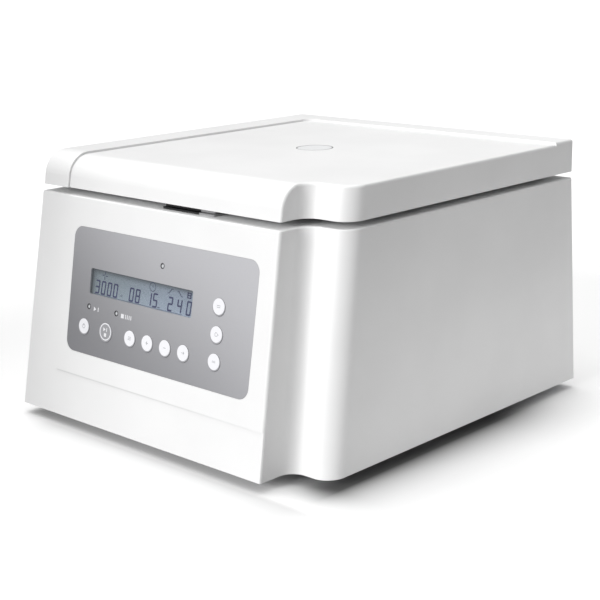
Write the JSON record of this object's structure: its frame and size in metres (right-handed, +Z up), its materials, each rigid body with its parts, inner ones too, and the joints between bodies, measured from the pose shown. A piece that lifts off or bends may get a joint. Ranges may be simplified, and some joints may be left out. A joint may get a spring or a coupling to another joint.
{
  "type": "clinical centrifuge",
  "caption": "Bench clinical centrifuge with a hinged lid, a fixed-angle rotor with tube sleeves, a motor on rubber mounts and a keypad with a display.",
  "frame": {"origin": "centre of the footprint, on the bench surface under the feet", "axes": "+X to the right as seen from the front, +Y to the back, +Z up"},
  "size_m": [0.3, 0.336, 0.2065],
  "materials": {
    "white_moulding": "satin moulded white",
    "liner_plastic": "satin light grey",
    "port_plastic": "translucent white",
    "grey_plastic": "satin",
    "black_plastic": "satin black",
    "key_plastic": "white caps with small grey marks",
    "panel_film": "metallic grey film",
    "display_lens": "clear",
    "display_glass": "blue-grey liquid crystal",
    "lamp_plastic": "tinted",
    "circuit_board": "solder-masked board with components",
    "zinc_steel": "zinc plated",
    "stainless_steel": "drawn stainless",
    "bearing_steel": "ground",
    "sleeve_steel": "polished stainless",
    "core_steel": "laminated core, dark",
    "cast_aluminium": "as cast",
    "rotor_aluminium": "anodised",
    "contact_brass": "plated",
    "black_rubber": "matte"
  },
  "bodies": {
    "base": {"main_housing": "white_moulding", "base_plate": "zinc_steel", "rubber_feet": "black_rubber", "case_screws": "zinc_steel", "chamber_bowl": "stainless_steel", "chamber_gasket": "black_rubber", "shaft_boot": "black_rubber", "motor_plate": "zinc_steel", "damper_mounts": "black_rubber", "motor_housing": "cast_aluminium", "motor_bearings": "bearing_steel", "motor_stator": "core_steel", "motor_screws": "zinc_steel", "hinge_brackets": "zinc_steel", "hinge_pins": "bearing_steel", "latch_escutcheon": "grey_plastic", "latch_frame": "zinc_steel", "latch_solenoid": "black_plastic", "lid_switch": "black_plastic", "control_panel": "panel_film", "display_window": "display_lens", "display_module": "display_glass", "control_board": "circuit_board", "key_switches": "black_plastic", "status_lamps": "lamp_plastic", "power_board": "circuit_board", "imbalance_switch": "black_plastic", "mains_inlet": "black_plastic", "inlet_pins": "contact_brass", "switch_frame": "black_plastic"},
    "lid": {"lid_shell": "white_moulding", "lid_liner": "liner_plastic", "sight_window": "port_plastic", "hinge_arms": "zinc_steel", "lid_catch": "black_plastic"},
    "rotor": {"drive_shaft": "bearing_steel", "magnet_rotor": "core_steel", "angle_rotor": "rotor_aluminium", "rotor_knob": "black_plastic", "tube_sleeve_1": "sleeve_steel", "tube_sleeve_2": "sleeve_steel", "tube_sleeve_3": "sleeve_steel", "tube_sleeve_4": "sleeve_steel", "tube_sleeve_5": "sleeve_steel", "tube_sleeve_6": "sleeve_steel", "tube_sleeve_7": "sleeve_steel", "tube_sleeve_8": "sleeve_steel"},
    "bolt": {"latch_bolt": "bearing_steel"},
    "rocker": {"power_rocker": "black_plastic"},
    "row_key_1": {"row_key_1": "key_plastic"},
    "start_key": {"start_key": "key_plastic"},
    "row_key_2": {"row_key_2": "key_plastic"},
    "row_key_3": {"row_key_3": "key_plastic"},
    "row_key_4": {"row_key_4": "key_plastic"},
    "row_key_5": {"row_key_5": "key_plastic"},
    "side_key_1": {"side_key_1": "key_plastic"},
    "side_key_2": {"side_key_2": "key_plastic"},
    "side_key_3": {"side_key_3": "key_plastic"}
  },
  "joints": [
    {"name": "lid_hinge", "type": "hinge", "parent": "base", "child": "lid", "pos_m": [0, 0.1573, 0.179], "axis": [-1, 0, 0], "range_deg": [0, 75]},
    {"name": "rotor_spin", "type": "hinge", "parent": "base", "child": "rotor", "pos_m": [0.005, 0.011, 0.1], "axis": [0, 0, 1], "continuous": true},
    {"name": "latch_bolt_slide", "type": "slide", "parent": "base", "child": "bolt", "axis": [1, 0, 0], "range_m": [0, 0.008], "stiffness_N_per_m": 120, "springref_m": -0.003},
    {"name": "power_rocker_tilt", "type": "hinge", "parent": "base", "child": "rocker", "pos_m": [-0.05, 0.16018, 0.06569], "axis": [0, -0.0488, 0.9988], "range_deg": [0, 16]},
    {"name": "row_key_1_press", "type": "slide", "parent": "base", "child": "row_key_1", "axis": [0, 0.9854, -0.1701], "range_m": [0, 0.0005], "stiffness_N_per_m": 1500, "springref_m": -0.0003},
    {"name": "start_key_press", "type": "slide", "parent": "base", "child": "start_key", "axis": [0, 0.9854, -0.1701], "range_m": [0, 0.0005], "stiffness_N_per_m": 1500, "springref_m": -0.0003},
    {"name": "row_key_2_press", "type": "slide", "parent": "base", "child": "row_key_2", "axis": [0, 0.9854, -0.1701], "range_m": [0, 0.0005], "stiffness_N_per_m": 1500, "springref_m": -0.0003},
    {"name": "row_key_3_press", "type": "slide", "parent": "base", "child": "row_key_3", "axis": [0, 0.9854, -0.1701], "range_m": [0, 0.0005], "stiffness_N_per_m": 1500, "springref_m": -0.0003},
    {"name": "row_key_4_press", "type": "slide", "parent": "base", "child": "row_key_4", "axis": [0, 0.9854, -0.1701], "range_m": [0, 0.0005], "stiffness_N_per_m": 1500, "springref_m": -0.0003},
    {"name": "row_key_5_press", "type": "slide", "parent": "base", "child": "row_key_5", "axis": [0, 0.9854, -0.1701], "range_m": [0, 0.0005], "stiffness_N_per_m": 1500, "springref_m": -0.0003},
    {"name": "side_key_1_press", "type": "slide", "parent": "base", "child": "side_key_1", "axis": [0, 0.9854, -0.1701], "range_m": [0, 0.0005], "stiffness_N_per_m": 1500, "springref_m": -0.0003},
    {"name": "side_key_2_press", "type": "slide", "parent": "base", "child": "side_key_2", "axis": [0, 0.9854, -0.1701], "range_m": [0, 0.0005], "stiffness_N_per_m": 1500, "springref_m": -0.0003},
    {"name": "side_key_3_press", "type": "slide", "parent": "base", "child": "side_key_3", "axis": [0, 0.9854, -0.1701], "range_m": [0, 0.0005], "stiffness_N_per_m": 1500, "springref_m": -0.0003}
  ]
}
